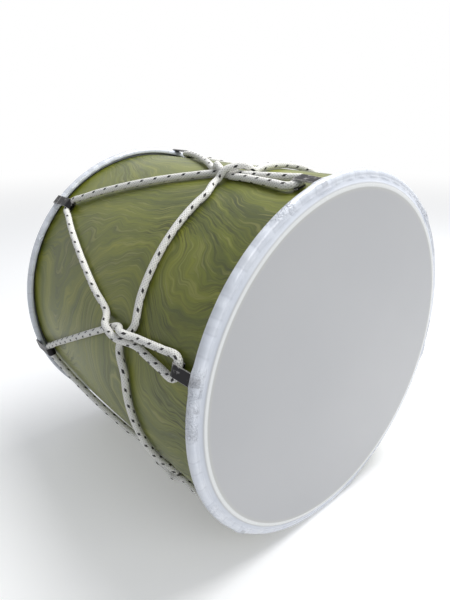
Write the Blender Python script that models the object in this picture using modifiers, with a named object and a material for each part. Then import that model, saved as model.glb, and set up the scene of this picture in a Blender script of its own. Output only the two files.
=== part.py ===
"""Caucasian drum, lying on its side: a wooden shell with two film heads.

Each head is a film that is folded round a steel ring. Flat steel hooks catch the
two rings, and one rope is laced to and fro between the hooks. A second rope, the
belt, runs round the drum and draws the strands together in pairs.

The drum lies along Y with its front head towards -Y, and the origin is under its
middle, on the floor. Sizes are in metres. Inside the drum, positions use the
frame of an empty on the drum's axis: local Z points out of the front head and
local Y points up. Angles are in degrees from the top of the drum towards +X.
"""

from math import atan2, cos, degrees, pi, radians, sin

import bmesh
import bpy
from mathutils import Matrix, Vector

MM = 0.001

# Driving dimensions
overall_length = 318.0 * MM
overall_width = 344.0 * MM
clearance = 0.3 * MM
facets = 48

shell_wall = 8.0 * MM
edge_rounding = 4.5 * MM
band_wall = 7.0 * MM
band_height = 30.0 * MM
band_setback = 3.0 * MM

film_thickness = 0.8 * MM
ring_rod = 5.6 * MM
ring_depth = 6.0 * MM

rope_diameter = 6.4 * MM

hook_count = 6
first_front_hook = -15.0
hook_width = 10.0 * MM
hook_thickness = 1.2 * MM
front_hook_reach = 26.0 * MM
rear_hook_reach = 33.0 * MM
claw_tip_angle = -20.0
curl_tip_angle = 295.0
window_margin = 0.4 * MM

# The film's fold and the rod are drawn as octagons. The fold starts and ends at an
# angle from the outward direction. The valley beside the shell and the windows are
# placed by shares of the wrap radius, and the valley's depth by a share of ring_depth.
section_sides = 8
fold_end_angle = 112.5
corner_end_angle = 40.0
valley_share = 0.76
valley_depth_share = 0.55
window_low_share = -0.5
window_high_share = 2.0
window_back_share = -0.82
window_front_share = 1.5
sharpest_mitre = 0.5

rope_bend = 4.0 * MM
crossing_depth = 122.0 * MM
belt_depth = 99.0 * MM
floor_lean = 3.0
floor_reach = 20.0
belt_knot_advance = 4.0 * MM
knot_node = 4
knot_diameter = 11.0 * MM
knot_length = 17.0 * MM
knot_turns = 3
knot_sides = 12
knot_groove_share = 0.84
knot_crest_start = 0.3
knot_crest_end = 0.7
knot_end_bevel = 0.02

# Sizes that follow from them
pitch = 360.0 / hook_count
half_length = overall_length / 2
step = 2 * pi / facets
wrap_radius = ring_rod / 2 + clearance + film_thickness
ring_radius = overall_width / 2 - wrap_radius
shell_radius = ring_radius - wrap_radius - clearance
shell_length = overall_length - 2 * (film_thickness + clearance)
rope_radius = rope_diameter / 2
curl_inner = rope_radius + clearance
curl_radius = shell_radius + clearance + hook_thickness + curl_inner
front_claw_inner = ring_rod / 2 + clearance
rear_claw_inner = wrap_radius / cos(pi / section_sides) + clearance
rope_bed = shell_radius / cos(step / 2) + clearance + rope_radius
lift_over = rope_diameter + 2 * clearance
leg_offset = hook_width / 2 + rope_bend


# Scene and materials

def clear_scene():
    for item in list(bpy.data.objects):
        bpy.data.objects.remove(item, do_unlink=True)


def new_collection(name):
    group = bpy.data.collections.new(name)
    bpy.context.scene.collection.children.link(group)
    return group


def new_material(name, colour, roughness, metallic=0.0):
    material = bpy.data.materials.new(name)
    material.use_nodes = True
    shader = material.node_tree.nodes["Principled BSDF"]
    shader.inputs["Base Color"].default_value = (*colour, 1.0)
    shader.inputs["Roughness"].default_value = roughness
    shader.inputs["Metallic"].default_value = metallic
    return material


def add_part(name, data, material):
    item = bpy.data.objects.new(name, data)
    data.materials.append(material)
    parts.objects.link(item)
    item.parent = drum_axis
    return item


# Modelling helpers

def strip(path, thickness):
    """Outline of a bent strip: one side of the path out, the other side back."""
    points = [Vector(point) for point in path]
    near, far = [], []
    for index, point in enumerate(points):
        before = points[max(index - 1, 0)]
        after = points[min(index + 1, len(points) - 1)]
        first = (point - before).normalized() if index else (after - point).normalized()
        last = (after - point).normalized() if index < len(points) - 1 else first
        mitre = (first + last).normalized()
        normal = Vector((-mitre.y, mitre.x))
        offset = thickness / 2 / max(mitre.dot(first), sharpest_mitre)
        near.append(point + normal * offset)
        far.append(point - normal * offset)
    return near + far[::-1]


def arc(centre, radius, first, last, count):
    """Points on an arc in a plane, at equal angles from first to last."""
    angles = [radians(first + (last - first) * i / count) for i in range(count + 1)]
    return [(centre[0] + radius * cos(a), centre[1] + radius * sin(a)) for a in angles]


def lathe(name, outline, closed, material, turns=facets):
    """Turn an outline of radius and height round local Z, its corners at half a step."""
    mesh = bpy.data.meshes.new(name)
    shape = bmesh.new()
    corner = 1 / cos(pi / turns)
    points = [shape.verts.new((radius * corner, 0.0, height)) for radius, height in outline]
    for first, last in zip(points, points[1:]):
        shape.edges.new((first, last))
    if closed:
        shape.edges.new((points[-1], points[0]))
    shape.to_mesh(mesh)
    shape.free()
    item = add_part(name, mesh, material)
    screw = item.modifiers.new("turn", "SCREW")
    screw.steps = turns
    screw.render_steps = turns
    screw.use_merge_vertices = True
    screw.merge_threshold = 0.00001
    settle(item)
    item.rotation_euler.z = pi / turns
    return item


def settle(item):
    """Turn the modified shape into a plain mesh and shade its round faces smooth."""
    graph = bpy.context.evaluated_depsgraph_get()
    mesh = bpy.data.meshes.new_from_object(item.evaluated_get(graph))
    mesh.name = item.name
    item.modifiers.clear()
    item.data = mesh
    mesh.shade_smooth()
    mesh.set_sharp_from_angle(angle=radians(35))


def on_drum(angle, depth, radius):
    """A point at an angle, behind the front head and out from the axis."""
    turn = radians(90 - angle)
    return Vector((radius * cos(turn), radius * sin(turn), half_length - depth))


# Shell, with the glued bands inside its ends

def make_shell():
    inner = shell_radius - shell_wall
    top = shell_length / 2
    crown = shell_radius - edge_rounding
    upper = arc((crown, top - edge_rounding), edge_rounding, 90, 0, 4)
    lower = [(radius, -height) for radius, height in reversed(upper)]
    return lathe("shell", upper + lower + [(inner, -top), (inner, top)], True, stained_wood)


def make_band(name, side):
    outer = shell_radius - shell_wall - clearance
    inner = outer - band_wall
    top = half_length - band_setback
    low = top - band_height
    outline = [(outer, top), (outer, low), (inner, low), (inner, top)]
    band = lathe(name, outline, True, plain_wood)
    turn_to_side(band, side)
    return band


def turn_to_side(item, side):
    """Pieces are modelled at the front; the rear ones are turned end for end."""
    if side == "rear":
        item.rotation_euler.y = pi
        item.rotation_euler.z = -item.rotation_euler.z


# Heads: a film over the shell's edge and round the steel ring

def film_path():
    """Middle line of the film, from the axis to the fold tucked behind the ring."""
    middle = film_thickness / 2
    crown = shell_radius - edge_rounding
    centre = (crown, half_length - film_thickness - clearance - edge_rounding)
    corner = arc(centre, edge_rounding + clearance + middle, 90, corner_end_angle, 2)
    valley_radius = ring_radius - valley_share * wrap_radius
    valley = (valley_radius, half_length - valley_depth_share * ring_depth)
    fold_radius = (wrap_radius - middle) / cos(pi / section_sides)
    fold_centre = (ring_radius, half_length - ring_depth)
    fold = arc(fold_centre, fold_radius, fold_end_angle, -fold_end_angle, 5)
    return [(0.0, half_length - middle)] + corner + [valley] + fold


def make_head(name, side):
    outline = [(max(point.x, 0.0), point.y) for point in strip(film_path(), film_thickness)]
    head = lathe(name, outline, False, white_film)
    turn_to_side(head, side)
    return head


def cut_windows(head):
    """Openings in the fold, through which the front hooks reach the steel ring."""
    mesh = bpy.data.meshes.new("front_head_windows")
    shape = bmesh.new()
    width = hook_width + 2 * window_margin
    low = window_low_share * wrap_radius
    high = window_high_share * wrap_radius
    back = window_back_share * wrap_radius
    front = window_front_share * wrap_radius
    for index in range(hook_count):
        frame = hook_frame(first_front_hook - pitch * index, "front")
        size = Matrix.Diagonal((front - back, high - low, width, 1.0))
        middle = Matrix.Translation(((front + back) / 2, (high + low) / 2, 0.0))
        bmesh.ops.create_cube(shape, size=1.0, matrix=frame @ middle @ size)
    shape.to_mesh(mesh)
    shape.free()
    cutter = bpy.data.objects.new("front_head_windows", mesh)
    cutters.objects.link(cutter)
    cutter.parent = drum_axis
    cutter.hide_render = True
    cutter.display_type = "WIRE"
    cut = head.modifiers.new("windows", "BOOLEAN")
    cut.operation = "DIFFERENCE"
    cut.object = cutter


def make_ring(name, side):
    centre = (ring_radius, half_length - ring_depth)
    last = fold_end_angle - 360 + 360 / section_sides
    outline = arc(centre, ring_rod / 2, fold_end_angle, last, section_sides - 1)
    ring = lathe(name, outline, True, ring_steel)
    turn_to_side(ring, side)
    return ring


# Hooks: a flat strip, bent into a claw at the ring and a curl at the rope

def hook_frame(angle, side):
    """Axes of a hook: X out of the head, Y out from the drum, Z along the ring."""
    turn = radians(90 - angle)
    outward = Vector((cos(turn), sin(turn), 0.0))
    facing = 1.0 if side == "front" else -1.0
    axial = Vector((0.0, 0.0, facing))
    along = axial.cross(outward)
    place = outward * ring_radius + axial * (half_length - ring_depth)
    frame = Matrix((axial, outward, along)).transposed().to_4x4()
    frame.translation = place
    return frame


def make_hook_shape(name, claw_inner, reach):
    middle = hook_thickness / 2
    curl = (ring_depth - reach, curl_radius - ring_radius)
    path = arc((0.0, 0.0), claw_inner + middle, claw_tip_angle, 90, 6)
    path += arc(curl, curl_inner + middle, 90, curl_tip_angle, 9)
    shape = bpy.data.curves.new(name, "CURVE")
    shape.dimensions = "2D"
    shape.fill_mode = "BOTH"
    shape.extrude = hook_width / 2
    outline = strip(path, hook_thickness)
    line = shape.splines.new("POLY")
    line.points.add(len(outline) - 1)
    for point, place in zip(line.points, outline):
        point.co = (*place, 0.0, 1.0)
    line.use_cyclic_u = True
    return shape


def make_hooks(side, claw_inner, reach, first):
    shape = make_hook_shape(side + "_hook", claw_inner, reach)
    shape.materials.append(black_steel)
    for index in range(hook_count):
        item = bpy.data.objects.new(f"{side}_hook_{index + 1}", shape)
        parts.objects.link(item)
        item.parent = drum_axis
        item.matrix_local = hook_frame(first - pitch * index, side)


# Ropes. A point is the arc from the middle of a node or hook, the depth behind
# the front head and the lift above the rope's bed on the shell.

def arc_angle(distance):
    return distance / rope_bed * 180 / pi


def hook_loop(angle, depth, side):
    """The rope's turn through a curl, from its low side to its high side."""
    inward = 1.0 if side == "front" else -1.0
    lift = curl_radius - rope_bed
    turn = arc((-hook_width / 2, rope_bend), rope_bend, 180, 270, 3)
    half = [(distance, depth + inward * along) for distance, along in turn]
    low = [(angle + arc_angle(distance), place, lift) for distance, place in half]
    high = [(angle - arc_angle(distance), place, lift) for distance, place in reversed(half)]
    return low + high


def belt_passes_over(index):
    return index % 3 == 0


def node_strands(index):
    """The two strands of a node, which cross and then run side by side to its hook.

    Each point is an arc and a depth in millimetres for the drawn rope, and a share
    of the lift that takes one rope over another.
    """
    upper = [(6.5, 13, 0.05), (3.6, 7.3, 0.55), (1.9, 4, 0.93), (0, 0, 1.02), (-1.7, -4, 0.95)]
    lower = [(-6.5, 13, 0), (-3.6, 7.3, 0), (-1.9, 4, 0), (0, 0, 0), (1.7, -4, 0)]
    if belt_passes_over(index):
        upper += [(-3.1, -8, 0.5), (-3.5, -12, 0.12), (-3.5, -17, 0), (-3.5, -38, 0)]
        lower += [(3.1, -8, 0), (3.5, -12, 0), (3.5, -17, 0), (3.5, -38, 0)]
    else:
        upper += [(-3.1, -8, 1), (-3.5, -14, 1.02), (-3.5, -20, 1.05), (-3.5, -25, 0.8)]
        upper += [(-3.5, -31, 0.25), (-3.5, -38, 0)]
        lower += [(3.1, -8, 0.05), (3.5, -13, 0.3), (3.5, -19, 0.85), (3.5, -24, 1.05)]
        lower += [(3.5, -28, 1.02), (3.5, -33, 0.7), (3.5, -38, 0.3)]
    angle = node_angle(index)
    placed = []
    for points in (upper, lower):
        placed.append([
            (angle + arc_angle(arc_mm * MM), crossing_depth + depth_mm * MM, share * lift_over)
            for arc_mm, depth_mm, share in points
        ])
    return placed


def between(first, last, count):
    """Points of a straight stretch on the shell, without its ends."""
    shares = [(i + 1) / (count + 1) for i in range(count)]
    return [tuple(a + (b - a) * share for a, b in zip(first, last)) for share in shares]


def node_angle(index):
    """Where node number index is gathered; the one over the floor leans away from it."""
    angle = first_front_hook - pitch * index
    from_floor = (angle + 360) % 360 - 180
    if abs(from_floor) < floor_reach:
        angle += floor_lean if from_floor > 0 else -floor_lean
    return angle


def strand_start(index):
    """Where the strand of a node leaves the rear hook above it."""
    angle = first_front_hook - pitch * index + pitch / 2
    depth = overall_length - rear_hook_reach - rope_bend
    return (angle - arc_angle(leg_offset), depth, 0.0)


def lacing_points(first_node):
    """The whole zigzag, from just after the knot round to just before it."""
    rear_depth = overall_length - rear_hook_reach
    route, arriving = knot_ends(*lacing_knot_stretch())
    for index in range(first_node, first_node + hook_count):
        hook = first_front_hook - pitch * index
        upper, lower = node_strands(index)
        front_loop = hook_loop(hook, front_hook_reach, "front")
        rear_loop = hook_loop(hook - pitch / 2, rear_depth, "rear")[::-1]
        route += between(route[-1], upper[0], 2 if index == first_node else 4) + upper
        route += between(upper[-1], front_loop[0], 3) + front_loop
        route += between(front_loop[-1], lower[-1], 3) + lower[::-1]
        route += between(lower[0], rear_loop[0], 4) + rear_loop
    return route + between(route[-1], arriving[0], 2) + arriving


def belt_points(first_node):
    """The belt, from just after its knot round to just before it."""
    route, arriving = knot_ends(*belt_knot_stretch())
    flat = [(35, -5, 0), (20, -7.5, 0), (13, -9, 0.03), (0, 0, 0), (-13, 9.3, 0.03), (-20, 8, 0)]
    flat += [(-35, 0, 0)]
    high = [(10.3, -8, 0.45), (8, -6.3, 0.85), (5.2, -4, 1.04), (0, 0, 1.06)]
    high += [(-5.2, 4, 1.04), (-8, 6.3, 0.85), (-10.3, 8, 0.45)]
    raised = flat[:3] + high + flat[4:]
    for index in range(first_node, first_node + hook_count):
        bends = [
            (node_angle(index) + arc_angle(arc_mm * MM), belt_depth + depth_mm * MM, share * lift_over)
            for arc_mm, depth_mm, share in (raised if belt_passes_over(index) else flat)
        ]
        route += between(route[-1], bends[0], 6 if index > first_node else 2) + bends
    return route + between(route[-1], arriving[0], 2) + arriving


# Knots that close the two ropes, on the far side of the drum

def knot_lift():
    return shell_radius / cos(step / 2) + 2 * clearance + knot_diameter / 2 - rope_bed


def knot_ends(first, last):
    """The rope's first points after a knot in the middle of a stretch, and its last ones.

    The rope comes back to its knot a whole turn further round the drum.
    """
    run = (last[0] - first[0]) / arc_angle(1.0)
    drop = last[1] - first[1]
    length = (run ** 2 + drop ** 2) ** 0.5
    radius = rope_bed + knot_lift()
    end = knot_length / 2 + clearance

    def place(distance):
        arc_length = distance * run / length
        angle = (first[0] + last[0]) / 2 + degrees(atan2(arc_length, radius))
        depth = (first[1] + last[1]) / 2 + distance * drop / length
        return (angle, depth, (radius ** 2 + arc_length ** 2) ** 0.5 - rope_bed)

    leaving = [place(end), place(end + rope_diameter)]
    arriving = [place(-end - rope_diameter), place(-end)]
    return leaving, [(angle - 360, depth, lift) for angle, depth, lift in arriving]


def lacing_knot_stretch():
    return strand_start(knot_node), node_strands(knot_node)[0][0]


def belt_knot_stretch():
    depth = belt_depth - belt_knot_advance
    middle = (node_angle(knot_node) + node_angle(knot_node + 1)) / 2
    return (middle + pitch / 4, depth, 0.0), (middle - pitch / 4, depth, 0.0)


def make_knot(name, stretch, material):
    """A barrel of three turns, drawn tight over both rope ends."""
    leaving, arriving = knot_ends(*stretch)
    ends = [on_drum(angle, depth, rope_bed + lift) for angle, depth, lift in (arriving[1], leaving[0])]
    turn = knot_length / knot_turns
    crest = knot_diameter / 2
    groove = crest * knot_groove_share
    outline = [(0.0, knot_length / 2)]
    for index in range(knot_turns):
        top = knot_length / 2 - index * turn
        outline += [(groove, top - turn * knot_end_bevel), (crest, top - turn * knot_crest_start)]
        outline += [(crest, top - turn * knot_crest_end)]
    outline += [(groove, -knot_length / 2 * (1 - knot_end_bevel)), (0.0, -knot_length / 2)]
    knot = lathe(name, outline, False, material, knot_sides)
    direction = (ends[1] - ends[0]).normalized()
    knot.rotation_mode = "QUATERNION"
    knot.rotation_quaternion = direction.to_track_quat("Z", "X")
    knot.location = (ends[0] + ends[1]) / 2
    return knot


def make_rope(name, route, material):
    shape = bpy.data.curves.new(name, "CURVE")
    shape.dimensions = "3D"
    shape.bevel_depth = rope_radius
    shape.bevel_resolution = 2
    shape.use_fill_caps = True
    line = shape.splines.new("POLY")
    line.points.add(len(route) - 1)
    for point, (angle, depth, lift) in zip(line.points, route):
        point.co = (*on_drum(angle, depth, rope_bed + lift), 1.0)
    return add_part(name, shape, material)


# The drum, lying on its rings

clear_scene()
parts = new_collection("caucasian_drum")
cutters = new_collection("cutters")

stained_wood = new_material("green_stained_wood", (0.155, 0.145, 0.035), 0.28)
plain_wood = new_material("plain_wood", (0.42, 0.29, 0.16), 0.6)
white_film = new_material("white_film", (0.66, 0.67, 0.69), 0.35)
ring_steel = new_material("ring_steel", (0.45, 0.45, 0.46), 0.4, 1.0)
black_steel = new_material("black_steel", (0.03, 0.027, 0.03), 0.42, 0.8)
white_rope = new_material("white_rope", (0.72, 0.70, 0.64), 0.8)

drum_axis = bpy.data.objects.new("drum_axis", None)
drum_axis.location = (0.0, 0.0, overall_width / 2)
drum_axis.rotation_euler = (pi / 2, 0.0, 0.0)
parts.objects.link(drum_axis)

make_shell()
for side in ("front", "rear"):
    make_band(side + "_band", side)
    make_ring(side + "_ring", side)
front_head = make_head("front_head", "front")
cut_windows(front_head)
make_head("rear_head", "rear")
make_hooks("front", front_claw_inner, front_hook_reach, first_front_hook)
make_hooks("rear", rear_claw_inner, rear_hook_reach, first_front_hook + pitch / 2)
make_rope("lacing_rope", lacing_points(knot_node), white_rope)
make_rope("belt_rope", belt_points(knot_node + 1), white_rope)
make_knot("lacing_knot", lacing_knot_stretch(), white_rope)
make_knot("belt_knot", belt_knot_stretch(), white_rope)
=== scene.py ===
# %% [markdown]
# A Caucasian drum lies on its side. The CAD frame already holds every piece at its
# real size. This script gives each one the finish and the fine shape of the real
# drum: a green stained veneer, milk-white film, blackened hooks and a braided rope.

from math import atan2, cos, degrees, pi, radians, sin

import bpy
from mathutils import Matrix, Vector


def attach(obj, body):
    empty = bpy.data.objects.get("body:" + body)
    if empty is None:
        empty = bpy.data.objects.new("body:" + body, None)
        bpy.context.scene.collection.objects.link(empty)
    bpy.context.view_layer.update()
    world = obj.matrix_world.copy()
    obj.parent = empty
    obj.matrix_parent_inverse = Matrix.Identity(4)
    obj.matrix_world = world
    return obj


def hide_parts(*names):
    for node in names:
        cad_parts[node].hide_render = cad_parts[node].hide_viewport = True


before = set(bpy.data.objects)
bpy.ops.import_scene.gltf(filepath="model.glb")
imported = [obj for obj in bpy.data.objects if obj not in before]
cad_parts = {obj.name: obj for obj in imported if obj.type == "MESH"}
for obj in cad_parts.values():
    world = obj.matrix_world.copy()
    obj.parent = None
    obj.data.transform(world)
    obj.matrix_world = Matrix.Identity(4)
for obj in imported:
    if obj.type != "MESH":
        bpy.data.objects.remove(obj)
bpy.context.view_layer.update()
print("nodes in the frame:", len(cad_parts))

# %% [markdown]
# The same sizes drive the construction and the looks, so the ones that this script
# needs are repeated here in metres. The drum's axis is level and runs along Y.

# %% Sizes of the drum
MM = 0.001
overall_length = 318.0 * MM
overall_width = 344.0 * MM
axis_height = overall_width / 2
half_length = overall_length / 2
clearance = 0.3 * MM
facets = 48
film_thickness = 0.8 * MM
ring_rod = 5.6 * MM
ring_depth = 6.0 * MM
edge_rounding = 4.5 * MM
shell_wall = 8.0 * MM
rope_diameter = 6.4 * MM
rope_radius = rope_diameter / 2
hook_count = 6
pitch = 360.0 / hook_count
first_front_hook = -15.0
hook_width = 10.0 * MM
hook_thickness = 1.2 * MM
front_hook_reach = 26.0 * MM
rear_hook_reach = 33.0 * MM
rope_bend = 4.0 * MM
crossing_depth = 122.0 * MM
belt_depth = 99.0 * MM
floor_lean = 3.0
near_floor = 20
knot_node = 4
knot_diameter = 11.0 * MM
knot_length = 17.0 * MM
wrap_radius = ring_rod / 2 + clearance + film_thickness
ring_radius = overall_width / 2 - wrap_radius
shell_radius = ring_radius - wrap_radius - clearance
shell_length = overall_length - 2 * (film_thickness + clearance)
half_step = pi / facets
curl_inner = rope_radius + clearance
curl_radius = shell_radius + clearance + hook_thickness + curl_inner
rope_bed = shell_radius / cos(half_step) + clearance + rope_radius
lift_over = rope_diameter + 2 * clearance
leg_offset = hook_width / 2 + rope_bend
knot_lift = shell_radius / cos(half_step) + 2 * clearance + knot_diameter / 2 - rope_bed
print("drum", round(overall_width / MM), "mm wide and", round(overall_length / MM), "mm long")

# %% [markdown]
# A material is a graph of nodes. Written out node by node, its sums are hard to
# read, so a small class wraps a socket and lets plain Python operators add the
# Math nodes. One method makes every other node: it takes the node's type, its
# settings and what goes into its sockets.

# %% A small language for materials


class Value:
    """A socket of a material's graph that can be used in Python sums."""

    def __init__(self, graph, socket):
        self.graph = graph
        self.socket = socket

    def maths(self, operation, *others):
        values = {index + 1: other for index, other in enumerate(others)}
        return self.graph.node("ShaderNodeMath", {"operation": operation}, {0: self, **values})

    def __add__(self, other):
        return self.maths("ADD", other)

    def __sub__(self, other):
        return self.maths("SUBTRACT", other)

    def __mul__(self, other):
        return self.maths("MULTIPLY", other)

    def __truediv__(self, other):
        return self.maths("DIVIDE", other)

    def __radd__(self, other):
        return self.maths("ADD", other)

    def __rmul__(self, other):
        return self.maths("MULTIPLY", other)

    def __rsub__(self, other):
        return (self * -1.0).maths("ADD", other)

    def clamp(self):
        return self.maths("MAXIMUM", 0.0).maths("MINIMUM", 1.0)

    def sine(self):
        return self.maths("SINE")

    def size(self):
        return self.maths("ABSOLUTE")

    def root(self):
        return self.maths("SQRT")

    def over(self, low, high):
        """0 below low, 1 above high and a smooth step between them."""
        values = {"Value": self, "From Min": low, "From Max": high}
        return self.graph.node("ShaderNodeMapRange", {"interpolation_type": "SMOOTHSTEP"}, values)


class Graph:
    """The nodes of one material, with its Principled BSDF ready."""

    def __init__(self, name):
        self.material = bpy.data.materials.new(name)
        self.material.use_nodes = True
        self.tree = self.material.node_tree
        self.shader = self.tree.nodes["Principled BSDF"]

    def node(self, kind, settings=None, inputs=None, output=0):
        made = self.tree.nodes.new(kind)
        for key, value in (settings or {}).items():
            if key == "stops":
                self.set_stops(made.color_ramp, value)
            else:
                setattr(made, key, value)
        for key, value in (inputs or {}).items():
            self.feed(made.inputs[key], value)
        return Value(self, made.outputs[output])

    def set_stops(self, ramp, stops):
        while len(ramp.elements) < len(stops):
            ramp.elements.new(0.5)
        for element, (place, colour) in zip(ramp.elements, stops):
            element.position = place
            element.color = (*colour, 1.0)

    def feed(self, socket, value):
        if isinstance(value, Value):
            self.tree.links.new(value.socket, socket)
        elif isinstance(value, tuple) and len(value) == 3 and socket.type == "RGBA":
            socket.default_value = (*value, 1.0)
        else:
            socket.default_value = value

    def place(self):
        return self.node("ShaderNodeTexCoord", output="Object")

    def axes(self, vector):
        return [self.node("ShaderNodeSeparateXYZ", None, {0: vector}, axis) for axis in range(3)]

    def join(self, x, y, z):
        return self.node("ShaderNodeCombineXYZ", None, {0: x, 1: y, 2: z})

    def noise(self, vector, scale, detail=2.0, roughness=0.5, distortion=0.0):
        inputs = {"Vector": vector, "Scale": scale, "Detail": detail}
        inputs.update({"Roughness": roughness, "Distortion": distortion})
        return self.node("ShaderNodeTexNoise", None, inputs, "Fac")

    def ramp(self, value, stops):
        return self.node("ShaderNodeValToRGB", {"stops": stops}, {0: value})

    def mix(self, amount, first, second):
        settings = {"data_type": "RGBA"}
        return self.node("ShaderNodeMix", settings, {0: amount, 6: first, 7: second}, 2)

    def turn_of(self, x, up):
        """The angle round the drum's axis, in radians."""
        return self.node("ShaderNodeMath", {"operation": "ARCTAN2"}, {0: up, 1: x})

    def bump(self, height, distance, strength):
        inputs = {"Height": height, "Distance": distance, "Strength": strength}
        return self.node("ShaderNodeBump", None, inputs)

    def finish(self, **sockets):
        for key, value in sockets.items():
            self.feed(self.shader.inputs[key.replace("_", " ").title()], value)
        return self.material


print("material helpers are ready")

# %% [markdown]
# The shell is covered with a figured veneer that was stained green and lacquered. Its
# grain runs along the drum in fine streaks, and it bends and curls where the tree
# grew round a knot. Noise that is squeezed along the drum's axis gives streaks. A
# broader noise turns the places that it is read from round the axis, which bends the
# streaks into curls, less so near the front head, where the grain runs straighter.
# Thin dark pores follow the streaks, and the lacquer is a thin clear coat.

# %% Stained veneer
grain_stretch = 0.06
sweep_scale, sweep_turn = 6.0, 2.3
ripple_scale, ripple_turn = 26.0, 0.16
straight_share = 0.2
straight_until, curled_from = -0.15, -0.03
figure_share, streak_share, fine_share = 0.54, 0.24, 0.22
stain_stops = [
    (0.32, (0.020, 0.028, 0.001)),
    (0.42, (0.056, 0.070, 0.003)),
    (0.50, (0.104, 0.122, 0.005)),
    (0.58, (0.160, 0.174, 0.010)),
    (0.70, (0.260, 0.262, 0.030)),
]
thread_colour = (0.330, 0.320, 0.085)
pore_colour = (0.022, 0.026, 0.002)


def make_veneer():
    graph = Graph("green_stained_veneer")
    place = graph.place()
    x, y, z = graph.axes(place)
    curled = straight_share + (1 - straight_share) * y.over(straight_until, curled_from)
    sweep = (graph.noise(place, sweep_scale, 1.0, 0.4) - 0.5) * sweep_turn * curled
    ripple = graph.noise(place, ripple_scale) * ripple_turn
    turned = graph.turn_of(x, z - axis_height) + sweep + ripple
    across = (turned + pi / 2).sine() * shell_radius
    up = turned.sine() * shell_radius
    along = graph.join(across, y * grain_stretch, up)
    figure = graph.noise(along, 46.0, 4.0, 0.62)
    streaks = graph.noise(along, 380.0, 3.0, 0.6)
    fine = graph.noise(along, 620.0, 2.0, 0.6)
    patches = graph.noise(place, 9.0).over(0.40, 0.64)
    pores = streaks.over(0.51, 0.60) * (patches + (1 - curled) * 0.5).clamp()
    threads = (1 - streaks).over(0.54, 0.66)
    depth = figure * figure_share + streaks * streak_share + fine * fine_share
    stain = graph.ramp(depth, stain_stops)
    lit = graph.mix(threads * 0.35, stain, thread_colour)
    colour = graph.mix(pores * 0.8, lit, pore_colour)
    gloss = 0.36 + fine * 0.12 + pores * 0.08
    relief = graph.bump(fine * 0.6 - pores * 0.8, 0.15 * MM, 0.4)
    graph.finish(base_color=colour, roughness=gloss, normal=relief)
    return graph.finish(coat_weight=0.04, coat_roughness=0.08)


veneer = make_veneer()
print("made", veneer.name)

# %% [markdown]
# The heads are a milk-white plastic film. It is even and satin where it is flat, and
# it is thinner and glossier where it was stretched over the edge of the shell, where a
# light line along the rounded edge is a painted highlight. On the steel ring it lies in
# small folds, which run across the ring. There the same white film is made lighter and
# bluish as painted sheen, and the lines between the folds are painted darker as shade.
# Its radius from the drum's axis says which of these places a point belongs to: each
# place has two radii, between which it softly begins or ends. The front film is also a
# little grey where a hook's claw lies under it.

# %% White film
pleat_length = 17 * MM
wrap_begins = (0.1606, 0.1626)
ring_begins = (0.1640, 0.1662)
claw_begins = (0.1672, 0.1690)
corner_begins, corner_ends = (0.1572, 0.1588), (0.1600, 0.1616)
shelf_begins, shelf_ends = (0.1540, 0.1575), (0.1600, 0.1620)
claw_half_widths = (2.6, 4.0)
flat_colours = (0.43, 0.435, 0.445), (0.49, 0.49, 0.495)
# Painted sheen: the film on the ring is lighter and bluish compared with the flat film.
wrapped_sheen_colours = (0.56, 0.60, 0.68), (0.72, 0.74, 0.78)
shelf_colour = (0.58, 0.575, 0.50)
# Painted highlight: the light colour of the film's rounded edge over the shell.
corner_highlight_colour = (0.80, 0.81, 0.80)
# Painted shade: the darker colour of the lines between the folds.
crease_shade_colour = (0.40, 0.42, 0.48)
claw_colour = (0.22, 0.22, 0.24)


def beside_hook(angle, first):
    """The distance along the rim from the nearest hook, in millimetres."""
    share = (angle * (180 / pi) - (90 - first)) / pitch + hook_count + 0.5
    return (share.maths("FRACT") - 0.5).size() * (radians(pitch) * ring_radius / MM)


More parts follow.
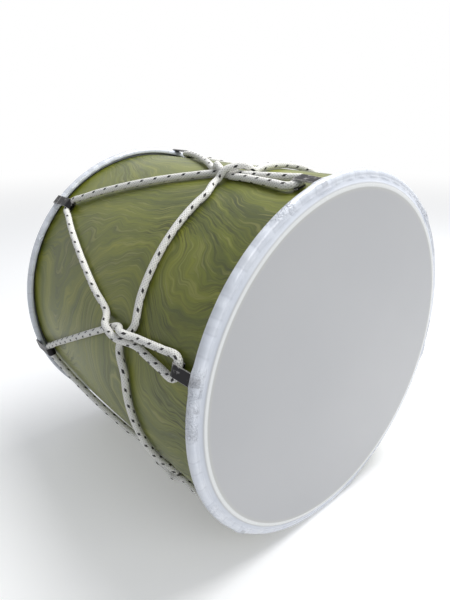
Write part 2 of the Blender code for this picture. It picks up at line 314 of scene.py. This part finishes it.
def make_film(name, claw_first=None):
    graph = Graph(name)
    place = graph.place()
    x, y, z = graph.axes(place)
    up = z - axis_height
    radius = (x * x + up * up).root()
    angle = graph.turn_of(x, up)
    wrapped_part = radius.over(*wrap_begins)
    on_ring = radius.over(*ring_begins)
    round_rim = angle * (ring_radius / pleat_length)
    one_way = {"voronoi_dimensions": "1D", "feature": "DISTANCE_TO_EDGE"}
    skew = graph.noise(place, 60.0) * 0.5
    pleats = graph.node("ShaderNodeTexVoronoi", one_way, {"W": round_rim + skew, "Scale": 1.0})
    crease_shade_mask = 1 - pleats.over(0.0, 0.09)
    tone = graph.noise(graph.join(round_rim, 0.0, 0.0), 0.8)
    crumpled = graph.noise(place, 130.0, 3.0, 0.6, 0.8)
    patches = graph.noise(place, 16.0).over(0.50, 0.62)
    ridges = (1 - ((crumpled - 0.5).size() * 7.0).clamp()) * patches
    clouds = graph.noise(place, 7.0, 3.0)
    specks = graph.noise(place, 420.0, 2.0, 0.6)
    corner = radius.over(*corner_begins) * (1 - radius.over(*corner_ends))
    shelf = radius.over(*shelf_begins) * (1 - radius.over(*shelf_ends))
    tinted = graph.mix(shelf * 0.25, graph.mix(clouds, *flat_colours), shelf_colour)
    # The corner band gets a painted highlight along the film's rounded edge.
    with_corner_highlight = graph.mix(corner * 0.9, tinted, corner_highlight_colour)
    # The film round the ring is the same white, made lighter and bluish as painted sheen; its tone
    # also varies at random.
    wrap_with_sheen = graph.mix(tone, *wrapped_sheen_colours)
    # The lines between the folds on the ring are painted darker as shade.
    shaded_creases = graph.mix(crease_shade_mask * on_ring * 0.28, wrap_with_sheen, crease_shade_colour)
    colour = graph.mix(wrapped_part, with_corner_highlight, shaded_creases)
    if claw_first is not None:
        claw = 1 - beside_hook(angle, claw_first).over(*claw_half_widths)
        grey = graph.noise(place, 300.0, 2.0, 0.6) * claw * radius.over(*claw_begins)
        colour = graph.mix(grey * 0.8, colour, claw_colour)
    gloss = 0.34 + specks * 0.08 - on_ring * 0.20 - corner * 0.12
    folds = pleats.over(0.0, 0.5) * 1.2 + ridges * 2.2
    relief = graph.bump(specks * 0.03 + clouds * 0.2 + on_ring * folds, 0.7 * MM, 0.8)
    graph.finish(base_color=colour, roughness=gloss, normal=relief)
    return graph.finish(coat_weight=on_ring * 0.6)


front_film = make_film("milk_white_film_front", first_front_hook)
rear_film = make_film("milk_white_film_rear")
print("made", front_film.name, "and", rear_film.name)

# %% [markdown]
# The hooks are cut from flat steel and blackened. The black wears off first along
# the cut edges and where the rope rubs. The steel rods inside the folded film are
# bare and a little stained.

# %% Steels
edge_wear_begins = (4.55, 4.85)
blackened, worn = (0.016, 0.015, 0.017), (0.42, 0.41, 0.41)
bare, stained = (0.55, 0.55, 0.56), (0.30, 0.28, 0.26)


def make_black_steel(name, first):
    graph = Graph(name)
    place = graph.place()
    x, y, z = graph.axes(place)
    angle = graph.turn_of(x, z - axis_height)
    marks = graph.noise(place, 240.0, 4.0, 0.65)
    smears = graph.noise(place, 60.0, 3.0)
    cut_edge = beside_hook(angle, first).over(*edge_wear_begins)
    wear = ((marks * smears * 4.0).over(1.15, 1.5) * 0.5 + cut_edge * (0.35 + marks)).clamp()
    colour = graph.mix(wear, blackened, worn)
    gloss = 0.34 + marks * 0.2
    relief = graph.bump(marks, 0.2 * MM, 0.4)
    return graph.finish(base_color=colour, roughness=gloss, normal=relief, metallic=0.75)


def make_bare_steel():
    graph = Graph("bare_steel")
    stains = graph.noise(graph.place(), 90.0, 4.0, 0.6)
    colour = graph.mix(stains.over(0.4, 0.7), bare, stained)
    return graph.finish(base_color=colour, roughness=0.28 + stains * 0.25, metallic=1.0)


black_steel = {
    "front": make_black_steel("blackened_steel_front", first_front_hook),
    "rear": make_black_steel("blackened_steel_rear", first_front_hook + pitch / 2),
}
bare_steel = make_bare_steel()
print("made", black_steel["front"].name, black_steel["rear"].name, "and", bare_steel.name)

# %% [markdown]
# The bands that stiffen the ends of the shell from inside are plain bent wood, with
# a straight grain that runs round the drum.

# %% Plain wood
dark_wood, light_wood = (0.33, 0.21, 0.11), (0.52, 0.37, 0.22)


def make_plain_wood():
    graph = Graph("plain_bent_wood")
    x, y, z = graph.axes(graph.place())
    round_drum = graph.join(x * 6.0, y * 150.0, z * 6.0)
    grain = graph.noise(round_drum, 3.0, 4.0, 0.6, 0.3)
    colour = graph.mix(grain, dark_wood, light_wood)
    relief = graph.bump(grain, 0.3 * MM, 0.5)
    return graph.finish(base_color=colour, roughness=0.55 + grain * 0.15, normal=relief)


plain_wood = make_plain_wood()
print("made", plain_wood.name)

# %% [markdown]
# The rope is a white braid with a few black threads in it, which show as rows of
# short slanted flecks. Two rows lie on each side of the rope, half a step apart. The
# spaces between the strands are painted darker as shade. The pattern has to follow the
# rope round every bend, so it is drawn on the rope's own UV map: U is the length along
# the rope in centimetres, and V goes once round it.

# %% Braided rope
braid_pitch = 0.62
fleck_pitch = 1.6
fleck_slant = 0.9
fleck_length, fleck_width = 0.12, 0.062
fleck_rows = {0.20: 0.0, 0.40: 0.5, 0.70: 0.0, 0.90: 0.5}
strands_round = 4
dull_fibre, bright_fibre = (0.76, 0.745, 0.70), (0.92, 0.91, 0.87)
# Painted shade: the darker colour of the spaces between the strands.
gap_shade_colour = (0.36, 0.34, 0.30)
fleck_colour = (0.022, 0.020, 0.020)


def near(value, middle, width):
    """1 where a value is close to the middle, falling to 0 at the width."""
    return 1 - (value - middle).size().over(width * 0.7, width)


def make_braid():
    graph = Graph("flecked_white_braid")
    u, v = graph.axes(graph.node("ShaderNodeUVMap", {"uv_map": "along"}))[:2]
    fibre = graph.noise(graph.place(), 1500.0, 2.0, 0.7)
    turn = v * (2 * pi * strands_round)
    run = u * (2 * pi / braid_pitch)
    right = (run + turn).sine()
    left = (run - turn).sine()
    strands = right.size().maths("MAXIMUM", left.size())
    shaded_gaps = 1 - strands.over(0.30, 0.80)
    slanted = u / fleck_pitch + v * fleck_slant
    flecks = 0.0
    for row, shift in fleck_rows.items():
        cell = (slanted + (shift - row * fleck_slant)).maths("FRACT")
        flecks = near(cell, 0.5, fleck_length) * near(v, row, fleck_width) + flecks
    white = graph.mix(fibre, dull_fibre, bright_fibre)
    # The spaces between the strands are painted darker as shade.
    shaded = graph.mix(shaded_gaps * 0.6, white, gap_shade_colour)
    colour = graph.mix(flecks.clamp(), shaded, fleck_colour)
    relief = graph.bump(strands + fibre * 0.25, 0.7 * MM, 0.9)
    return graph.finish(base_color=colour, roughness=0.74 + fibre * 0.12, normal=relief)


braid = make_braid()
print("made", braid.name)

# %% [markdown]
# The CAD nodes that already have the right shape only need their finish. A CAD node
# is never moved or reshaped, so the material goes into its slots.

# %% Finish the CAD nodes


def finish_node(name, material):
    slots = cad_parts[name].material_slots
    for item in slots:
        item.material = material
    return len(slots)


finished = []
for side in ("front", "rear"):
    finished += [finish_node(f"{side}_hook_{i + 1}", black_steel[side]) for i in range(hook_count)]
    finished += [finish_node(side + "_ring", bare_steel), finish_node(side + "_band", plain_wood)]
print("finished", len(finished), "nodes")

# %% [markdown]
# A drum is turned work: every section across its axis is a circle. Such a piece can
# grow from one primitive circle. Each step extrudes the last loop of edges and moves
# it to the next point of the profile, and the last loop is closed at the end. The
# axis is upright while it grows, and the finished piece is then laid down.

# %% Grow a turned piece
rim_sides = 240
smooth_up_to = radians(40)


def deselect_all():
    for item in bpy.context.selected_objects:
        item.select_set(False)


def start_circle(name, radius, height, sides=rim_sides):
    deselect_all()
    bpy.ops.mesh.primitive_circle_add(vertices=sides, radius=radius, location=(0, 0, height))
    piece = bpy.context.object
    piece.name = name
    bpy.ops.object.transform_apply(location=True, rotation=False, scale=False)
    bpy.ops.object.mode_set(mode="EDIT")
    bpy.ops.mesh.select_mode(type="EDGE")
    bpy.ops.mesh.select_all(action="SELECT")
    return piece


def grow(profile):
    """Extrude the selected loop through the points of a profile, radius and height."""
    for (radius, height), (next_radius, next_height) in zip(profile, profile[1:]):
        step = {"value": (0, 0, next_height - height)}
        bpy.ops.mesh.extrude_edges_move(TRANSFORM_OT_translate=step)
        ratio = next_radius / radius
        bpy.ops.transform.resize(value=(ratio, ratio, 1.0), center_override=(0, 0, next_height))


def lay_down(piece, side, material, node):
    """Turn the piece's axis along Y, put it at the drum's height and hand it over."""
    bpy.ops.mesh.select_all(action="SELECT")
    bpy.ops.mesh.normals_make_consistent(inside=False)
    bpy.ops.object.mode_set(mode="OBJECT")
    facing = 1 if side == "front" else -1
    piece.rotation_euler = (facing * pi / 2, 0, 0)
    piece.location = (0, 0, axis_height)
    bpy.ops.object.transform_apply(location=True, rotation=True, scale=True)
    bpy.ops.object.shade_smooth_by_angle(angle=smooth_up_to)
    piece.data.materials.append(material)
    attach(piece, "root")
    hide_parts(node)
    print(piece.name, len(piece.data.polygons), "faces")


def arc(centre, radius, first, last, count):
    angles = [radians(first + (last - first) * i / count) for i in range(count + 1)]
    return [(centre[0] + radius * cos(a), centre[1] + radius * sin(a)) for a in angles]


print("turned pieces have", rim_sides, "sides")

# %% [markdown]
# The shell is a tube with rounded edges, over which the film is drawn. Its profile
# goes down the outside and back up the inside, and a bridge joins the last loop to
# the first.

# %% Shell


def make_shell():
    inner = shell_radius - shell_wall
    top = shell_length / 2
    crown = shell_radius - edge_rounding
    upper = arc((crown, top - edge_rounding), edge_rounding, 90, 0, 8)
    lower = [(radius, -height) for radius, height in reversed(upper)]
    profile = [(inner, top)] + upper + lower + [(inner, -top)]
    piece = start_circle("veneered_shell", *profile[0])
    grow(profile)
    bpy.ops.mesh.select_all(action="DESELECT")
    bpy.ops.mesh.select_non_manifold(extend=False)
    bpy.ops.mesh.bridge_edge_loops()
    lay_down(piece, "front", veneer, "shell")


make_shell()

# %% [markdown]
# A head is one film that runs over the shell's edge, dips into the gap beside it and
# wraps the steel ring. It is drawn as a thin solid: out along its face and back
# along its inner side. Both ends of the profile are closed with a flat face.

# %% Heads
flat_edge = 12 * MM
film_sag = 0.15 * MM
claw_rise = 0.9 * MM
claw_steps = (10.5 * MM, 7.5 * MM, 5.6 * MM)
claw_end_angle = -35
claw_inner_share = 0.9
face_shares = (0.6, 0.97)
corner_end_angle = 56
fold_start_angle = 104
fold_end_angle = -112.5


def smooth_bend(first, corner, last, count):
    """Points of a soft bend that starts at first, heads for the corner and ends at last."""
    shares = [i / count for i in range(count + 1)]
    return [
        tuple(
            (1 - t) ** 2 * a + 2 * t * (1 - t) * b + t * t * c
            for a, b, c in zip(first, corner, last)
        )
        for t in shares
    ]


def film_middle():
    middle = film_thickness / 2
    crown = shell_radius - edge_rounding
    centre = (crown, half_length - film_thickness - clearance - edge_rounding)
    corner = arc(centre, edge_rounding + clearance + middle, 90, corner_end_angle, 8)
    ring_centre = (ring_radius, half_length - ring_depth)
    fold = arc(ring_centre, wrap_radius - middle, fold_start_angle, fold_end_angle, 26)
    sag = [(a + b) / 2 for a, b in zip(corner[-1], fold[0])]
    dip = smooth_bend(corner[-1], (sag[0], sag[1] - film_sag), fold[0], 6)[1:-1]
    face = [flat_edge] + [crown * share for share in face_shares]
    return [(radius, half_length - middle) for radius in face] + corner + dip + fold


def both_sides(path, thickness):
    """The profile of a thin solid: the path's outer side, then back along its inner side."""
    points = [Vector(point) for point in path]
    outer, inner = [], []
    for index, point in enumerate(points):
        before = points[max(index - 1, 0)]
        after = points[min(index + 1, len(points) - 1)]
        direction = (after - before).normalized()
        normal = Vector((-direction.y, direction.x))
        outer.append(tuple(point + normal * thickness / 2))
        inner.append(tuple(point - normal * thickness / 2))
    return outer + inner[::-1]


def raise_over_claws(piece):
    """The film is raised where it covers a hook's claw, in three narrowing steps."""
    bpy.ops.mesh.select_mode(type="VERT")
    bpy.ops.mesh.select_all(action="SELECT")
    bpy.ops.mesh.normals_make_consistent(inside=False)
    for reach in claw_steps:
        bpy.ops.mesh.select_all(action="DESELECT")
        bpy.ops.object.mode_set(mode="OBJECT")
        for point in piece.data.vertices:
            point.select = over_a_claw(point.co, reach)
        bpy.ops.object.mode_set(mode="EDIT")
        bpy.ops.transform.shrink_fatten(value=claw_rise / len(claw_steps))
    bpy.ops.mesh.select_mode(type="EDGE")


def over_a_claw(place, reach):
    outward = Vector((place.x, place.y)).length - ring_radius
    forward = place.z - (half_length - ring_depth)
    on_skin = (outward ** 2 + forward ** 2) ** 0.5 > wrap_radius - film_thickness / 2
    too_far_in = outward < -wrap_radius * claw_inner_share
    if not on_skin or too_far_in or degrees(atan2(forward, outward)) < claw_end_angle:
        return False
    turn = 90 - degrees(atan2(place.y, place.x)) - first_front_hook
    beside = (turn + pitch / 2) % pitch - pitch / 2
    return abs(radians(beside)) * ring_radius < reach


def make_head(side):
    profile = both_sides(film_middle(), film_thickness)
    piece = start_circle(side + "_film", *profile[0])
    grow(profile)
    bpy.ops.mesh.select_all(action="SELECT")
    bpy.ops.mesh.fill_holes(sides=0)
    if side == "front":
        raise_over_claws(piece)
    film = front_film if side == "front" else rear_film
    lay_down(piece, side, film, side + "_head")


make_head("front")
make_head("rear")

# %% [markdown]
# The lacing is one rope. It runs from a rear hook to a node, where two strands cross
# and then go side by side to a front hook, and back. Its route is the one of the CAD
# model: a point is an angle round the drum, a depth behind the front head and a lift
# above the bed on which the rope lies.

# %% Route of the lacing


def on_drum(angle, depth, radius):
    turn = radians(90 - angle)
    return Vector((radius * cos(turn), depth - half_length, radius * sin(turn) + axis_height))


def in_space(angle, depth, lift):
    return on_drum(angle, depth, rope_bed + lift)


def arc_angle(distance):
    return degrees(distance / rope_bed)


def hook_loop(angle, depth, side):
    inward = 1.0 if side == "front" else -1.0
    lift = curl_radius - rope_bed
    turn = arc((-hook_width / 2, rope_bend), rope_bend, 180, 270, 3)
    half = [(distance, depth + inward * along) for distance, along in turn]
    low = [(angle + arc_angle(distance), place, lift) for distance, place in half]
    high = [(angle - arc_angle(distance), place, lift) for distance, place in reversed(half)]
    return low + high


def belt_passes_over(index):
    return index % 3 == 0


def node_strands(index):
    """Arc and depth in millimetres and share of the lift, for both strands of a node."""
    upper = [(6.5, 13, 0.05), (3.6, 7.3, 0.55), (1.9, 4, 0.93), (0, 0, 1.02), (-1.7, -4, 0.95)]
    lower = [(-6.5, 13, 0), (-3.6, 7.3, 0), (-1.9, 4, 0), (0, 0, 0), (1.7, -4, 0)]
    if belt_passes_over(index):
        upper += [(-3.1, -8, 0.5), (-3.5, -12, 0.12), (-3.5, -17, 0), (-3.5, -38, 0)]
        lower += [(3.1, -8, 0), (3.5, -12, 0), (3.5, -17, 0), (3.5, -38, 0)]
    else:
        upper += [(-3.1, -8, 1), (-3.5, -14, 1.02), (-3.5, -20, 1.05), (-3.5, -25, 0.8)]
        upper += [(-3.5, -31, 0.25), (-3.5, -38, 0)]
        lower += [(3.1, -8, 0.05), (3.5, -13, 0.3), (3.5, -19, 0.85), (3.5, -24, 1.05)]
        lower += [(3.5, -28, 1.02), (3.5, -33, 0.7), (3.5, -38, 0.3)]
    angle = node_angle(index)
    placed = []
    for points in (upper, lower):
        placed.append([bend(angle, crossing_depth, *point) for point in points])
    return placed


def bend(angle, depth, arc_mm, depth_mm, share):
    return (angle + arc_angle(arc_mm * MM), depth + depth_mm * MM, share * lift_over)


def between(first, last, count):
    shares = [(i + 1) / (count + 1) for i in range(count)]
    return [tuple(a + (b - a) * share for a, b in zip(first, last)) for share in shares]


def node_angle(index):
    angle = first_front_hook - pitch * index
    from_floor = (angle + 360) % 360 - 180
    if abs(from_floor) < near_floor:
        angle += floor_lean if from_floor > 0 else -floor_lean
    return angle


def strand_start(index):
    angle = first_front_hook - pitch * index + pitch / 2
    depth = overall_length - rear_hook_reach - rope_bend
    return (angle - arc_angle(leg_offset), depth, 0.0)


def knot_ends(first, last):
    """The points just after a knot in the middle of a stretch, and just before it."""
    run = (last[0] - first[0]) / arc_angle(1.0)
    drop = last[1] - first[1]
    length = (run ** 2 + drop ** 2) ** 0.5
    radius = rope_bed + knot_lift
    end = knot_length / 2 + clearance

    def place(distance):
        arc_length = distance * run / length
        angle = (first[0] + last[0]) / 2 + degrees(atan2(arc_length, radius))
        depth = (first[1] + last[1]) / 2 + distance * drop / length
        return (angle, depth, (radius ** 2 + arc_length ** 2) ** 0.5 - rope_bed)

    leaving = [place(end), place(end + rope_diameter)]
    arriving = [place(-end - rope_diameter), place(-end)]
    return leaving, [(angle - 360, depth, lift) for angle, depth, lift in arriving]


def lacing_knot_stretch():
    return strand_start(knot_node), node_strands(knot_node)[0][0]


def lacing_points(first_node):
    rear_depth = overall_length - rear_hook_reach
    route, arriving = knot_ends(*lacing_knot_stretch())
    for index in range(first_node, first_node + hook_count):
        hook = first_front_hook - pitch * index
        upper, lower = node_strands(index)
        front_loop = hook_loop(hook, front_hook_reach, "front")
        rear_loop = hook_loop(hook - pitch / 2, rear_depth, "rear")[::-1]
        route += between(route[-1], upper[0], 2 if index == first_node else 4) + upper
        route += between(upper[-1], front_loop[0], 3) + front_loop
        route += between(front_loop[-1], lower[-1], 3) + lower[::-1]
        route += between(lower[0], rear_loop[0], 4) + rear_loop
    return route + between(route[-1], arriving[0], 2) + arriving


lacing_route = lacing_points(knot_node)
print("lacing has", len(lacing_route), "points")

# %% [markdown]
# The belt is a second rope. It goes once round the drum between the nodes and the
# front hooks, under most pairs of strands and over every third one.

# %% Route of the belt


def belt_knot_stretch():
    depth = belt_depth - 4 * MM
    middle = (node_angle(knot_node) + node_angle(knot_node + 1)) / 2
    return (middle + pitch / 4, depth, 0.0), (middle - pitch / 4, depth, 0.0)


def belt_points(first_node):
    route, arriving = knot_ends(*belt_knot_stretch())
    flat = [(35, -5, 0), (20, -7.5, 0), (13, -9, 0.03), (0, 0, 0), (-13, 9.3, 0.03), (-20, 8, 0)]
    flat += [(-35, 0, 0)]
    high = [(10.3, -8, 0.45), (8, -6.3, 0.85), (5.2, -4, 1.04), (0, 0, 1.06)]
    high += [(-5.2, 4, 1.04), (-8, 6.3, 0.85), (-10.3, 8, 0.45)]
    raised = flat[:3] + high + flat[4:]
    for index in range(first_node, first_node + hook_count):
        shape = raised if belt_passes_over(index) else flat
        bends = [bend(node_angle(index), belt_depth, *point) for point in shape]
        route += between(route[-1], bends[0], 6 if index > first_node else 2) + bends
    return route + between(route[-1], arriving[0], 2) + arriving


belt_route = belt_points(knot_node + 1)
print("belt has", len(belt_route), "points")

# %% [markdown]
# A real rope has no sharp corners. A smooth curve goes through the route's points, a
# few turns of averaging take out what stays uneven, and a round section is swept
# along it. The curve becomes a mesh, and each of its rings gets its length along the
# rope in a UV map, on which the braid is drawn.

# %% Sweep a rope
rope_step = 1.5 * MM
rope_sides = 16
smoothing_turns = 7


def soft_points(route):
    """Points along a smooth curve through the route, about a step apart."""
    ends = [route[0]] + route + [route[-1]]
    soft = []
    for a, b, c, d in zip(ends, ends[1:], ends[2:], ends[3:]):
        start, stop = in_space(*b), in_space(*c)
        span = (stop - start).length
        count = max(1, round(span / rope_step))
        before = (in_space(*a) - start).length or 1
        after = (in_space(*d) - stop).length or 1
        for i in range(count):
            soft.append(soft_place(a, b, c, d, before, span, after, i / count))
    return soft + [route[-1]]


def soft_place(a, b, c, d, before, span, after, t):
    """A place between b and c. The tangents allow for the unlike lengths beside them."""
    place = []
    for p, q, r, s in zip(a, b, c, d):
        first = span * ((q - p) / before * span + (r - q) / span * before) / (before + span)
        last = span * ((r - q) / span * after + (s - r) / after * span) / (span + after)
        place.append(
            (2 * t ** 3 - 3 * t ** 2 + 1) * q + (t ** 3 - 2 * t ** 2 + t) * first
            + (3 * t ** 2 - 2 * t ** 3) * r + (t ** 3 - t ** 2) * last
        )
    return tuple(place)


def draw_rope(name, route):
    points = [in_space(*point) for point in soft_points(route)]
    for turn in range(smoothing_turns):
        inner = [(a + b * 2 + c) / 4 for a, b, c in zip(points, points[1:], points[2:])]
        points = [points[0]] + inner + [points[-1]]
    curve = bpy.data.curves.new(name, "CURVE")
    curve.dimensions = "3D"
    curve.twist_mode = "MINIMUM"
    curve.bevel_depth = rope_radius
    curve.bevel_resolution = rope_sides // 2 - 2
    curve.use_fill_caps = True
    line = curve.splines.new("POLY")
    line.points.add(len(points) - 1)
    for point, place in zip(line.points, points):
        point.co = (*place, 1.0)
    piece = bpy.data.objects.new(name, curve)
    bpy.context.scene.collection.objects.link(piece)
    deselect_all()
    piece.select_set(True)
    bpy.context.view_layer.objects.active = piece
    bpy.ops.object.convert(target="MESH")
    write_along(bpy.context.object, points)
    return bpy.context.object


def write_along(piece, points):
    """A UV map with the length in centimetres and the share of a turn round the rope."""
    lengths = [0.0]
    for first, last in zip(points, points[1:]):
        lengths.append(lengths[-1] + (last - first).length)
    mesh = piece.data
    sides = len(mesh.vertices) // len(points)
    along = mesh.uv_layers.get("along") or mesh.uv_layers.new(name="along")
    for face in mesh.polygons:
        corners = [mesh.loops[i].vertex_index for i in face.loop_indices]
        rings = [min(corner // sides, len(points) - 1) for corner in corners]
        turns = [corner % sides for corner in corners]
        crosses = max(turns) - min(turns) > 1 and len(turns) == 4
        for i, ring, turn in zip(face.loop_indices, rings, turns):
            around = turn + sides if crosses and turn == 0 else turn
            along.data[i].uv = (lengths[ring] * 100, around / sides)
    print(piece.name, round(lengths[-1], 3), "m long,", sides, "sides")


def hand_over_rope(piece, node):
    bpy.ops.object.shade_smooth()
    piece.data.materials.append(braid)
    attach(piece, "root")
    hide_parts(node)


lacing = draw_rope("lacing_braid", lacing_route)
hand_over_rope(lacing, "lacing_rope")
belt = draw_rope("belt_braid", belt_route)
hand_over_rope(belt, "belt_rope")

# %% [markdown]
# A knot closes each rope on the far side. It is three tight turns of the same rope
# side by side, so it is grown like the turned pieces, with one round ridge a turn, and
# is then set on the rope's line.

# %% Knots
knot_turns = 3
knot_sides = 48
knot_end_radius = knot_diameter * 0.30
ridge_end_angle = 75
braid_length_round = 3.4
braid_turns_across = 1.5


def make_knot(name, stretch, node):
    leaving, arriving = knot_ends(*stretch)
    start, stop = in_space(*arriving[1]), in_space(*leaving[0])
    half = knot_length / 2
    piece = start_circle(name, knot_end_radius, half, knot_sides)
    swell = knot_length / knot_turns
    profile = [(knot_end_radius, half)]
    for index in range(knot_turns):
        centre = (knot_diameter / 2 - swell / 2, half - swell * (index + 0.5))
        profile += arc(centre, swell / 2, ridge_end_angle, -ridge_end_angle, 8)
    grow(profile + [(knot_end_radius, -half)])
    bpy.ops.mesh.select_all(action="SELECT")
    bpy.ops.mesh.fill_holes(sides=0)
    bpy.ops.mesh.normals_make_consistent(inside=False)
    bpy.ops.object.mode_set(mode="OBJECT")
    write_round(piece)
    piece.rotation_euler = (stop - start).to_track_quat("Z", "X").to_euler()
    piece.location = (start + stop) / 2
    bpy.ops.object.transform_apply(location=True, rotation=True, scale=True)
    hand_over_rope(piece, node)
    return piece


def write_round(piece):
    """On a knot the braid runs round, so U follows the turn and V the height."""
    mesh = piece.data
    along = mesh.uv_layers.get("along") or mesh.uv_layers.new(name="along")
    for loop in mesh.loops:
        place = mesh.vertices[loop.vertex_index].co
        turn = atan2(place.y, place.x) / (2 * pi) + 0.5
        height = place.z / knot_length * braid_turns_across + 0.5
        along.data[loop.index].uv = (turn * braid_length_round, height)


knots = [
    make_knot("lacing_knot_braid", lacing_knot_stretch(), "lacing_knot"),
    make_knot("belt_knot_braid", belt_knot_stretch(), "belt_knot"),
]
print("knots:", [item.name for item in knots])

# %% [markdown]
# The drum is shown on a plain pale floor, which fades into a white surrounding far
# from the drum. The camera and reflections see the floor glow and the world white,
# and the light that falls on the drum stays at a plain level.

# %% Floor and world
pale = (0.80, 0.80, 0.80)
white = (1.0, 1.0, 1.0)
floor_size = 12.0
floor_drop = 0.5 * MM
floor_glow = 0.26
fade_begins, fade_ends = 0.5, 3.2
sky, sky_strength = (0.90, 0.94, 1.0), 0.45
white_to = ("Is Camera Ray", "Is Glossy Ray", "Is Transmission Ray")


def make_floor():
    graph = Graph("pale_floor")
    deselect_all()
    bpy.ops.mesh.primitive_plane_add(size=floor_size, location=(0, 0, -floor_drop))
    floor = bpy.context.object
    floor.name = "floor"
    seen = 0.0
    for ray in white_to:
        seen = graph.node("ShaderNodeLightPath", output=ray) + seen
    seen = seen.clamp()
    x, y, z = graph.axes(graph.place())
    far = (x * x + y * y).root().over(fade_begins, fade_ends) * seen
    graph.finish(base_color=pale, roughness=0.9)
    graph.finish(emission_color=white, emission_strength=seen * floor_glow)
    plain = graph.node("ShaderNodeEmission", None, {"Color": white, "Strength": 1.0})
    lit = Value(graph, graph.shader.outputs[0])
    both = graph.node("ShaderNodeMixShader", None, {0: far, 1: lit, 2: plain})
    graph.feed(graph.tree.nodes["Material Output"].inputs["Surface"], both)
    floor.data.materials.append(graph.material)
    return floor


def make_world():
    world = bpy.data.worlds.new("studio")
    world.use_nodes = True
    bpy.context.scene.world = world
    tree = world.node_tree
    light = tree.nodes["Background"]
    light.inputs[0].default_value = (*sky, 1.0)
    light.inputs[1].default_value = sky_strength
    shown = tree.nodes.new("ShaderNodeBackground")
    shown.inputs[0].default_value = (*white, 1.0)
    shown.inputs[1].default_value = 1.0
    path = tree.nodes.new("ShaderNodeLightPath")
    choice = tree.nodes.new("ShaderNodeMixShader")
    seen = path.outputs[white_to[0]]
    for ray in white_to[1:]:
        either = tree.nodes.new("ShaderNodeMath")
        either.operation = "MAXIMUM"
        tree.links.new(seen, either.inputs[0])
        tree.links.new(path.outputs[ray], either.inputs[1])
        seen = either.outputs[0]
    tree.links.new(seen, choice.inputs[0])
    tree.links.new(light.outputs[0], choice.inputs[1])
    tree.links.new(shown.outputs[0], choice.inputs[2])
    tree.links.new(choice.outputs[0], tree.nodes["World Output"].inputs["Surface"])


floor = make_floor()
make_world()
print("floor and world are ready")

# %% [markdown]
# A large soft lamp from above gives the long highlight on the lacquer, and a weaker
# one from in front lights the face of the front head. The camera stands where the
# photo was taken from.

# %% Lamps and camera
lamps = {
    "lamp_above": {"place": (0.5, -0.2, 1.5), "width": 0.9, "power": 22.0},
    "lamp_front": {"place": (0.2, -1.6, 0.9), "width": 1.0, "power": 7.0},
}
camera_place = (-0.3278, -0.3750, 0.3842)
camera_turn = (radians(68.36), 0.0, radians(-40.77))
sensor_height, lens = 24.0, 18.83


def add_lamp(name, place, width, power):
    lamp = bpy.data.lights.new(name, "AREA")
    lamp.shape = "DISK"
    lamp.size = width
    lamp.energy = power
    item = bpy.data.objects.new(name, lamp)
    item.location = place
    aim = Vector((0.0, 0.0, axis_height)) - Vector(place)
    item.rotation_euler = aim.to_track_quat("-Z", "Y").to_euler()
    bpy.context.scene.collection.objects.link(item)


for name, settings in lamps.items():
    add_lamp(name, **settings)

camera_data = bpy.data.cameras.new("camera")
camera_data.sensor_fit = "VERTICAL"
camera_data.sensor_height = sensor_height
camera_data.lens = lens
camera = bpy.data.objects.new("camera", camera_data)
camera.location = camera_place
camera.rotation_euler = camera_turn
bpy.context.scene.collection.objects.link(camera)
bpy.context.scene.camera = camera
bpy.context.scene.view_settings.view_transform = "Standard"
print("camera stands", round(camera.location.length, 3), "m from the drum's place on the floor")
